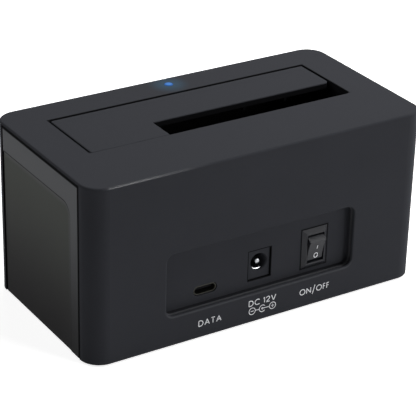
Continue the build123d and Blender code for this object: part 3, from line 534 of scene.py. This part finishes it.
def make_finishes():
    return {
        "housing": housing_finish_with_painted_light(),
        "cover": cover_finish_with_painted_light(),
        "base": moulded_plastic("base_finish", BLACK),
        # The flap with painted shade on its edges and underside
        "flap": plastic_with_painted_shade("flap_finish_with_painted_shade", BLACK, flap_painted_shade),
        # The bay's liner in near black, as painted shade inside the bay
        "liner": moulded_plastic("liner_painted_shade_finish", PAINTED_SHADE_BLACK),
        "panel": panel_finish_with_painted_light(),
        "switch": moulded_plastic("switch_finish", linear(36, 37, 41), roughness=0.42, gloss=0.2),
        "connector": moulded_plastic("connector_finish", linear(20, 20, 22), roughness=0.5),
        "jack": moulded_plastic("jack_finish", BLACK),
        "chip": moulded_plastic("chip_finish", linear(28, 28, 30), roughness=0.6),
        "inductor": moulded_plastic("inductor_finish", linear(84, 84, 88), roughness=0.6),
        "led": moulded_plastic("led_finish", linear(225, 225, 215), roughness=0.4),
        "lead": moulded_plastic("lead_finish", linear(170, 32, 30), roughness=0.45),
        "rubber": rubber(),
        "board": circuit_board(),
        "steel": brushed_metal("steel_finish", linear(178, 180, 184)),
        "screw": brushed_metal("screw_finish", linear(64, 64, 68), roughness=0.42),
        "socket": brushed_metal("socket_finish", linear(56, 56, 52), roughness=0.5),
        "leaf": brushed_metal("leaf_finish", linear(238, 239, 242), roughness=0.14),
        "chrome": brushed_metal("chrome_finish", linear(158, 160, 163), roughness=0.26),
        "can": brushed_metal("can_finish", linear(190, 192, 196), roughness=0.3),
        "gold": brushed_metal("gold_finish", linear(214, 170, 92), roughness=0.28),
        "light": glowing_plastic("light_finish", linear(52, 128, 206), linear(22, 84, 158), 0.8),
        "ink": printed_ink("ink_finish", linear(228, 229, 233)),
    }


NODE_FINISH = {
    "housing_shell": "housing",
    "side_cover_left": "cover",
    "side_cover_right": "cover",
    "base_plate": "base",
    "rubber_feet": "rubber",
    "base_screws": "screw",
    "port_panel": "panel",
    "bay_liner": "liner",
    "liner_screws": "steel",
    "flap": "flap",
    "hinge_pin": "steel",
    "flap_spring_left": "steel",
    "flap_spring_right": "steel",
    "main_board": "board",
    "board_screws": "steel",
    "bridge_chip": "chip",
    "memory_chip": "chip",
    "regulator_chip": "chip",
    "crystal": "can",
    "inductors": "inductor",
    "capacitors": "can",
    "indicator_led": "led",
    "light_pipe": "light",
    "drive_connector": "connector",
    "drive_contacts": "gold",
    "data_socket_shell": "socket",
    "data_socket_tongue": "connector",
    "data_socket_contacts": "gold",
    "power_jack_body": "jack",
    "power_jack_pin": "chrome",
    "power_jack_spring": "chrome",
    "switch_frame": "switch",
    "rocker": "switch",
    "switch_terminals": "socket",
    "switch_leads": "lead",
}


def dress_solids(finishes):
    for node, finish in NODE_FINISH.items():
        materials = frame["nodes"][node].data.materials
        materials.clear()
        materials.append(finishes[finish].material)


# Pieces

def new_piece(name, mesh, body, finish=None):
    piece = bpy.data.objects.new(name, mesh)
    bpy.context.scene.collection.objects.link(piece)
    if finish:
        mesh.materials.clear()
        mesh.materials.append(finish.material)
    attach(piece, body)
    return piece


class PieceTree:
    """A Geometry Nodes tree with named inputs for its sizes."""

    def __init__(self, name, sizes):
        self.group = bpy.data.node_groups.new(name, "GeometryNodeTree")
        self.sizes = sizes
        self.group.interface.new_socket("Geometry", in_out="INPUT", socket_type="NodeSocketGeometry")
        self.group.interface.new_socket("Geometry", in_out="OUTPUT", socket_type="NodeSocketGeometry")
        for size in sizes:
            self.group.interface.new_socket(size, in_out="INPUT", socket_type="NodeSocketFloat")
        self.maker = Value(self.group, None)
        self.inputs = self.group.nodes.new("NodeGroupInput")
        self.start = self.maker.out(self.inputs, "Geometry")

    def size(self, name):
        return self.maker.out(self.inputs, name)

    def make(self, kind, settings=None, **sockets):
        return self.maker.out(self.maker.node(kind, settings, **sockets))

    def vector(self, x=0.0, y=0.0, z=0.0):
        return self.make("ShaderNodeCombineXYZ", X=x, Y=y, Z=z)

    def placed(self, geometry, **sockets):
        return self.make("GeometryNodeTransform", Geometry=geometry, **sockets)

    def finish_with(self, geometry, finish):
        real = self.make("GeometryNodeRealizeInstances", Geometry=geometry)
        dressed = self.make("GeometryNodeSetMaterial", Geometry=real, Material=finish.material)
        output = self.group.nodes.new("NodeGroupOutput")
        self.maker.fill(output.inputs["Geometry"], dressed)

    def grow(self, start_mesh):
        """Run the tree on a mesh with its sizes and give the result as a plain mesh."""
        helper = bpy.data.objects.new("helper", start_mesh)
        bpy.context.scene.collection.objects.link(helper)
        modifier = helper.modifiers.new("grow", "NODES")
        modifier.node_group = self.group
        for item in self.group.interface.items_tree:
            if item.in_out == "INPUT" and item.name in self.sizes:
                modifier[item.identifier] = self.sizes[item.name]
        evaluated = helper.evaluated_get(bpy.context.evaluated_depsgraph_get())
        mesh = bpy.data.meshes.new_from_object(evaluated)
        helper.modifiers.remove(modifier)
        bpy.data.objects.remove(helper)
        return mesh


# Printed marks, drawn as strokes in the XY plane

SAME_PLACE = 0.001 * MM
LINE_WIDTH = 0.31 * MM
POLARITY_LINE = 0.26 * MM
INK_PROUD = 0.02 * MM
INK_THICKNESS = 0.03 * MM
LETTER_GAP = 0.34
WORD_GAP = 0.42
CURVE_STEP = math.radians(12)


def arc(x, y, radius_x, radius_y, start, stop):
    """Points along an arc, with its angles in degrees."""
    first = math.radians(start)
    sweep = math.radians(stop) - first
    count = max(2, math.ceil(abs(sweep) / CURVE_STEP))
    points = []
    for step in range(count + 1):
        angle = first + sweep * step / count
        points.append((x + radius_x * math.cos(angle), y + radius_y * math.sin(angle)))
    return points


# Each sign: how wide it is, then its strokes, with capitals one unit high
LETTERS = {
    "A": (0.82, [[(0, 0), (0.41, 1)], [(0.41, 1), (0.82, 0)], [(0.15, 0.34), (0.67, 0.34)]]),
    "C": (0.84, [arc(0.5, 0.5, 0.5, 0.5, 46, 314)]),
    "D": (0.78, [[(0, 0), (0, 1)], [(0, 1), *arc(0.28, 0.5, 0.5, 0.5, 90, -90), (0, 0)]]),
    "F": (0.38, [[(0, 0), (0, 1)], [(0, 1), (0.38, 1)], [(0, 0.54), (0.36, 0.54)]]),
    "N": (0.8, [[(0, 0), (0, 1)], [(0, 1), (0.8, 0)], [(0.8, 0), (0.8, 1)]]),
    "O": (1.0, [arc(0.5, 0.5, 0.5, 0.5, 0, 360)]),
    "T": (0.66, [[(0, 1), (0.66, 1)], [(0.33, 1), (0.33, 0)]]),
    "V": (0.8, [[(0, 1), (0.4, 0)], [(0.4, 0), (0.8, 1)]]),
    "1": (0.2, [[(0.2, 0), (0.2, 1)], [(0.2, 1), (0, 0.82)]]),
    "2": (0.62, [[*arc(0.31, 0.7, 0.29, 0.3, 170, -32), (0.02, 0)], [(0, 0), (0.62, 0)]]),
    "/": (0.48, [[(0, -0.4), (0.48, 1.28)]]),
}


def word(letters, height, width, x, y):
    """The strokes of a word of given height and width, centred on x with its foot at y."""
    strokes = []
    reach = 0.0
    for letter in letters:
        if letter == " ":
            reach += WORD_GAP
            continue
        wide, shapes = LETTERS[letter]
        strokes += [[(reach + px, py) for px, py in shape] for shape in shapes]
        reach += wide + LETTER_GAP
    reach -= LETTER_GAP
    share = width / reach
    return [[(x + (px - reach / 2) * share, y + py * height) for px, py in stroke] for stroke in strokes]


def stroke_edges(strokes):
    """A mesh of edges only, one chain for each stroke."""
    places = []
    edges = []
    for stroke in strokes:
        closed = math.dist(stroke[0], stroke[-1]) < SAME_PLACE
        points = stroke[:-1] if closed else stroke
        first = len(places)
        places += [(px, py, 0) for px, py in points]
        edges += [(first + step, first + step + 1) for step in range(len(points) - 1)]
        if closed:
            edges.append((first + len(points) - 1, first))
    mesh = bpy.data.meshes.new("strokes")
    mesh.from_pydata(places, edges, [])
    return mesh


def ink_tree(finish, line_width):
    """Follows each stroke with a flat rectangle of ink."""
    tree = PieceTree("ink_strokes", {"Line Width": line_width, "Ink Thickness": INK_THICKNESS})
    curve = tree.make("GeometryNodeMeshToCurve", Mesh=tree.start)
    upright = tree.make("GeometryNodeSetCurveNormal", {"mode": "Z_UP"}, Curve=curve)
    section = tree.make(
        "GeometryNodeCurvePrimitiveQuadrilateral", {"mode": "RECTANGLE"},
        Width=tree.size("Line Width"), Height=tree.size("Ink Thickness"),
    )
    ink = tree.make("GeometryNodeCurveToMesh", Curve=upright, Profile_Curve=section, Fill_Caps=True)
    tree.finish_with(ink, finish)
    return tree


POLARITY_RADIUS = 1.3 * MM
POLARITY_SPREAD = 4.25 * MM
POLARITY_SIGN = 0.62 * MM
POLARITY_DOT = 0.3 * MM
POLARITY_GAP = 42


def ring(x, y, radius):
    return arc(x, y, radius, radius, 0, 360)


def polarity_mark(x, y):
    """Minus in a ring, a line to the open ring with its dot, a line to plus in a ring."""
    radius = POLARITY_RADIUS
    sign = POLARITY_SIGN
    left = x - POLARITY_SPREAD
    right = x + POLARITY_SPREAD
    return [
        ring(left, y, radius),
        [(left - sign, y), (left + sign, y)],
        [(left + radius, y), (x - radius, y)],
        arc(x, y, radius, radius, POLARITY_GAP, 360 - POLARITY_GAP),
        ring(x, y, POLARITY_DOT),
        [(x + POLARITY_DOT, y), (right - radius, y)],
        ring(right, y, radius),
        [(right - sign, y), (right + sign, y)],
        [(right, y - sign), (right, y + sign)],
    ]


def port_print(name, strokes, line_width, finish):
    """Ink on the port wall: X of a stroke is X of the object, Y of a stroke is its height."""
    mesh = ink_tree(finish, line_width).grow(stroke_edges(strokes))
    out = port_face + INK_THICKNESS / 2 - INK_PROUD
    mesh.transform(Matrix.Translation((0, out, 0)) @ Matrix.Rotation(math.pi / 2, 4, "X"))
    new_piece(name, mesh, "housing")


def port_labels(finish):
    """The word under each port, and the polarity mark under the power jack's."""
    labels = {
        "power_label": word("DC 12V", 2.05 * MM, 11.1 * MM, jack_x - 0.55 * MM, 7.1 * MM),
        "polarity_label": polarity_mark(jack_x - 0.45 * MM, 4.95 * MM),
        "data_label": word("DATA", 2.1 * MM, 9.0 * MM, socket_x + 0.1 * MM, 5.1 * MM),
        "switch_label": word("ON/OFF", 2.1 * MM, 12.4 * MM, switch_x - 1.25 * MM, 5.6 * MM),
    }
    for name, strokes in labels.items():
        line_width = POLARITY_LINE if name == "polarity_label" else LINE_WIDTH
        port_print(name, strokes, line_width, finish)


# Distances on the rocker's face are from its pivot
ROCKER_FACE_OUT = 3.2 * MM
ROCKER_MARK_X = 0.35 * MM
ROCKER_I_FOOT = 0.3 * MM
ROCKER_I_TOP = 1.9 * MM
ROCKER_O_Z = -2.5 * MM
ROCKER_O_HALF_X = 0.75 * MM
ROCKER_O_HALF_Z = 0.95 * MM


def rocker_marks(finish):
    """The I and the O, laid on the rocker's dished face."""
    centre = joints["rocker_pivot"]
    strokes = [
        [(ROCKER_MARK_X, ROCKER_I_FOOT), (ROCKER_MARK_X, ROCKER_I_TOP)],
        arc(ROCKER_MARK_X, ROCKER_O_Z, ROCKER_O_HALF_X, ROCKER_O_HALF_Z, 0, 360),
    ]
    mesh = ink_tree(finish, LINE_WIDTH).grow(stroke_edges(strokes))
    tilt = Matrix.Rotation(ROCKER_TILT, 4, "X") @ Matrix.Rotation(math.pi / 2, 4, "X")
    outward = tilt @ Vector((0, 0, 1))
    rocker = frame["nodes"]["rocker"].data
    surface = BVHTree.FromPolygons(
        [vertex.co for vertex in rocker.vertices], [face.vertices for face in rocker.polygons]
    )
    for vertex in mesh.vertices:
        rise = vertex.co.z + INK_PROUD - INK_THICKNESS / 2
        flat = centre + tilt @ Vector((vertex.co.x, vertex.co.y, 0))
        hit = surface.ray_cast(flat + outward * ROCKER_FACE_OUT * 2, -outward)[0]
        vertex.co = hit + outward * rise
    new_piece("rocker_marks", mesh, "switch_rocker")


# Contact leaf in the power jack

JACK_BORE = 3.15 * MM
JACK_AXIS_UP = 6.0 * MM
LEAF_THICKNESS = 0.25 * MM
LEAF_BOW = 0.4 * MM
LEAF_FROM_MOUTH = 0.7 * MM
LEAF_LENGTH = 2.6 * MM
LEAF_START = math.radians(222)
LEAF_STOP = math.radians(292)
LEAF_STEPS = 16
LEAF_ROWS = 6


def contact_leaf(finish):
    """The plated leaf that a plug's sleeve slides over, curved with the bore and bowed along it."""
    work = bmesh.new()
    axis = Vector((jack_x, 0, jack_low.z + JACK_AXIS_UP))
    rows = []
    for row in range(LEAF_ROWS + 1):
        along = row / LEAF_ROWS
        y = jack_low.y + LEAF_FROM_MOUTH + LEAF_LENGTH * along
        reach = JACK_BORE - LEAF_THICKNESS - math.sin(math.pi * along) * LEAF_BOW
        points = []
        for step in range(LEAF_STEPS + 1):
            angle = LEAF_START + (LEAF_STOP - LEAF_START) * step / LEAF_STEPS
            way = Vector((math.cos(angle), 0, math.sin(angle)))
            points.append(work.verts.new(axis + way * reach + Vector((0, y, 0))))
        rows.append(points)
    for near, far in zip(rows, rows[1:]):
        for step in range(LEAF_STEPS):
            work.faces.new((near[step], near[step + 1], far[step + 1], far[step]))
    bmesh.ops.recalc_face_normals(work, faces=work.faces)
    bmesh.ops.solidify(work, geom=work.faces[:], thickness=LEAF_THICKNESS)
    bmesh.ops.recalc_face_normals(work, faces=work.faces)
    mesh = bpy.data.meshes.new("contact_leaf")
    work.to_mesh(mesh)
    work.free()
    mesh.polygons.foreach_set("use_smooth", [True] * len(mesh.polygons))
    new_piece("jack_contact_leaf", mesh, "housing", finish)


# Screws with cross recesses

SCREW_HEAD_RADIUS = 2.4 * MM
SCREW_HEAD_HEIGHT = 1.7 * MM
SCREW_EDGE_HEIGHT = 0.6 * MM
SCREW_TOP_RADIUS = 1.75 * MM
SCREW_SHANK_RADIUS = 1.1 * MM
CROSS_LENGTH = 2.5 * MM
CROSS_WIDTH = 0.55 * MM
CROSS_DEPTH = 1.0 * MM
SCREW_SIDES = 32
THREAD_PITCH = 0.8 * MM
THREAD_CORE = 0.86


def screw_tree(name, shank_length, head_up, finish):
    """One pan head screw with a cross recess and thread ridges, set at each point of a mesh."""
    tree = PieceTree(name, {
        "Head Radius": SCREW_HEAD_RADIUS, "Head Height": SCREW_HEAD_HEIGHT,
        "Edge Height": SCREW_EDGE_HEIGHT, "Top Radius": SCREW_TOP_RADIUS,
        "Shank Radius": SCREW_SHANK_RADIUS, "Shank Length": shank_length,
        "Cross Length": CROSS_LENGTH, "Cross Width": CROSS_WIDTH, "Cross Depth": CROSS_DEPTH,
        "Thread Pitch": THREAD_PITCH,
    })
    head_radius = tree.size("Head Radius")
    head_height = tree.size("Head Height")
    edge_height = tree.size("Edge Height")
    shank_radius = tree.size("Shank Radius")
    shank_core = shank_radius * THREAD_CORE
    straight = head_height - edge_height
    at_top = tree.vector(z=head_height * -1.0)
    skirt = tree.make(
        "GeometryNodeMeshCone", Vertices=SCREW_SIDES, Radius_Top=head_radius,
        Radius_Bottom=head_radius, Depth=straight,
    )
    skirt = tree.placed(skirt, Translation=tree.vector(z=straight * -1.0))
    crown = tree.make(
        "GeometryNodeMeshCone", Vertices=SCREW_SIDES, Radius_Top=head_radius,
        Radius_Bottom=tree.size("Top Radius"), Depth=edge_height,
    )
    crown = tree.placed(crown, Translation=at_top)
    shank = tree.make(
        "GeometryNodeMeshCone", Vertices=SCREW_SIDES, Radius_Top=shank_core,
        Radius_Bottom=shank_core, Depth=tree.size("Shank Length"),
    )
    body = tree.maker.node("GeometryNodeMeshBoolean", {"operation": "UNION"})
    for solid in (skirt, crown, shank):
        tree.maker.fill(body.inputs["Mesh 2"], solid)
    long = tree.size("Cross Length")
    wide = tree.size("Cross Width")
    deep = tree.size("Cross Depth") * 2.0
    cross = tree.maker.node("GeometryNodeMeshBoolean", {"operation": "DIFFERENCE"})
    tree.maker.fill(cross.inputs["Mesh 1"], tree.maker.out(body))
    for size in (tree.vector(long, wide, deep), tree.vector(wide, long, deep)):
        arm = tree.placed(tree.make("GeometryNodeMeshCube", Size=size), Translation=at_top)
        tree.maker.fill(cross.inputs["Mesh 2"], arm)
    pitch = tree.size("Thread Pitch")
    ridge = tree.make(
        "GeometryNodeMeshCone", Vertices=SCREW_SIDES, Radius_Top=shank_core,
        Radius_Bottom=shank_radius, Depth=pitch * 0.5,
    )
    count = tree.maker.maths("FLOOR", tree.size("Shank Length") / pitch) - 1
    rows = tree.make(
        "GeometryNodeMeshLine", {"mode": "OFFSET"}, Count=count,
        Start_Location=tree.vector(z=pitch * 0.5), Offset=tree.vector(z=pitch),
    )
    ridges = tree.make("GeometryNodeInstanceOnPoints", Points=rows, Instance=ridge)
    joined = tree.maker.node("GeometryNodeJoinGeometry")
    for solid in (tree.maker.out(cross), ridges):
        tree.maker.fill(joined.inputs["Geometry"], solid)
    turn = math.pi if head_up else 0.0
    turned = tree.placed(tree.maker.out(joined), Rotation=(turn, 0.0, 0.0))
    screws = tree.make("GeometryNodeInstanceOnPoints", Points=tree.start, Instance=turned)
    tree.finish_with(screws, finish)
    return tree


def loose_boxes(node):
    """The lowest and highest corner of each separate solid in a node."""
    work = bmesh.new()
    work.from_mesh(frame["nodes"][node].data)
    bmesh.ops.remove_doubles(work, verts=work.verts, dist=SAME_PLACE)
    left = set(work.verts)
    boxes = []
    while left:
        reached = [left.pop()]
        group = []
        while reached:
            vertex = reached.pop()
            group.append(vertex.co.copy())
            for edge in vertex.link_edges:
                other = edge.other_vert(vertex)
                if other in left:
                    left.remove(other)
                    reached.append(other)
        low = Vector([min(place[axis] for place in group) for axis in range(3)])
        high = Vector([max(place[axis] for place in group) for axis in range(3)])
        boxes.append((low, high))
    work.free()
    return sorted(boxes, key=lambda box: (round(box[0].x, 4), round(box[0].y, 4)))


def cross_screws(node, head_up, finish):
    """Detailed screws in place of a node's plain ones, at the same places and lengths."""
    boxes = loose_boxes(node)
    low, high = boxes[0]
    shank_length = high.z - low.z - SCREW_HEAD_HEIGHT
    seats = []
    for low, high in boxes:
        seat = high.z - SCREW_HEAD_HEIGHT if head_up else low.z + SCREW_HEAD_HEIGHT
        seats.append(((low.x + high.x) / 2, (low.y + high.y) / 2, seat))
    points = bpy.data.meshes.new("seats")
    points.from_pydata(seats, [], [])
    mesh = screw_tree(node + "_tree", shank_length, head_up, finish).grow(points)
    piece = new_piece(node + "_with_recess", mesh, "housing")
    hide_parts(node)


# Floor, lamps and camera

FLOOR_HALF_SIZE = 3.0
FLOOR_GLOW = 0.77
FLOOR_NEAR = 0.5
FLOOR_FAR = 1.6
SKY_LEVEL = 0.04

# Each lamp: its place, the side of its square and its power
LAMPS = {
    "side_lamp": ((-1.25, 0.85, 0.9), 1.0, 10.5),
    "port_lamp": ((0.9, -0.95, 0.3), 0.8, 5.6),
    "edge_lamp": ((0.68, -1.35, 0.75), 0.22, 5),
    "top_lamp": ((0.6, -0.06, 0.75), 0.5, 9.6),
    "rear_lamp": ((1.0, 1.2, 1.0), 1.0, 5),
}


def rays_that_see_white(maker):
    """1 for camera, glossy and transmission rays, so that metal shows the white background too."""
    rays = maker.node("ShaderNodeLightPath")
    mirrored = maker.out(rays, "Is Glossy Ray") + maker.out(rays, "Is Transmission Ray")
    return maker.maths("ADD", maker.out(rays, "Is Camera Ray"), mirrored, clamp=True)


def floor_finish():
    """A pale floor that the camera sees as white, with the object's shadow near it."""
    finish = Finish("floor_finish")
    clouds = finish.noise(0.2)
    pale = finish.blend(clouds, (0.82, 0.82, 0.82, 1), (0.86, 0.86, 0.86, 1))
    seen = rays_that_see_white(finish.maker)
    far = (finish.x * finish.x + finish.y * finish.y).root().smooth(FLOOR_NEAR, FLOOR_FAR)
    glow = finish.blend(seen * (FLOOR_GLOW + far * (1 - FLOOR_GLOW)), NO_LIGHT, WHITE)
    finish.set(Base_Color=pale, Roughness=0.9, Specular_IOR_Level=0.0)
    finish.set(Emission_Color=glow, Emission_Strength=1.0)
    return finish


def floor():
    work = bmesh.new()
    bmesh.ops.create_grid(work, x_segments=2, y_segments=2, size=FLOOR_HALF_SIZE)
    mesh = bpy.data.meshes.new("floor")
    work.to_mesh(mesh)
    work.free()
    made = bpy.data.objects.new("floor", mesh)
    bpy.context.scene.collection.objects.link(made)
    mesh.materials.append(floor_finish().material)


def lamp(name, place, size, power):
    """A square lamp that looks at the middle of the object."""
    data = bpy.data.lights.new(name, "AREA")
    data.shape = "SQUARE"
    data.size = size
    data.energy = power
    made = bpy.data.objects.new(name, data)
    bpy.context.scene.collection.objects.link(made)
    made.location = place
    way = Vector((0, 0, object_height / 2)) - Vector(place)
    made.rotation_euler = way.to_track_quat("-Z", "Y").to_euler()


def studio_world():
    """A faint sky that the camera and mirrored rays see as white."""
    world = bpy.data.worlds.new("studio")
    world.use_nodes = True
    maker = Value(world.node_tree, None)
    seen = rays_that_see_white(maker)
    background = world.node_tree.nodes["Background"]
    background.inputs["Color"].default_value = WHITE
    maker.fill(background.inputs["Strength"], SKY_LEVEL + seen * (1 - SKY_LEVEL))
    bpy.context.scene.world = world


def camera():
    """The photo's view: turned by its roll, then moved across the view to centre the object."""
    flat = math.cos(VIEW_HEIGHT_ANGLE)
    back = Vector((
        math.sin(VIEW_AZIMUTH) * flat, -math.cos(VIEW_AZIMUTH) * flat, math.sin(VIEW_HEIGHT_ANGLE)
    ))
    forward = -back
    right = forward.cross(Vector((0, 0, 1))).normalized()
    up = right.cross(forward)
    turned_right = math.cos(VIEW_ROLL) * right + math.sin(VIEW_ROLL) * up
    turned_up = -math.sin(VIEW_ROLL) * right + math.cos(VIEW_ROLL) * up
    target = Vector((0, 0, object_height / 2)) + VIEW_RIGHT * turned_right + VIEW_UP * turned_up
    data = bpy.data.cameras.new("camera")
    data.lens = VIEW_LENS
    data.sensor_width = VIEW_SENSOR
    data.clip_start = VIEW_NEAREST
    data.clip_end = VIEW_FARTHEST
    made = bpy.data.objects.new("camera", data)
    bpy.context.scene.collection.objects.link(made)
    columns = Matrix((turned_right, turned_up, back)).transposed()
    made.matrix_world = Matrix.Translation(target + back * VIEW_DISTANCE) @ columns.to_4x4()
    bpy.context.scene.camera = made


def stage():
    floor()
    studio_world()
    for name, (place, size, power) in LAMPS.items():
        lamp(name, place, size, power)


finishes = make_finishes()
dress_solids(finishes)
port_labels(finishes["ink"])
rocker_marks(finishes["ink"])
contact_leaf(finishes["leaf"])
cross_screws("base_screws", False, finishes["screw"])
cross_screws("liner_screws", False, finishes["steel"])
cross_screws("board_screws", True, finishes["steel"])
stage()
camera()
bpy.context.scene.view_settings.view_transform = "Standard"
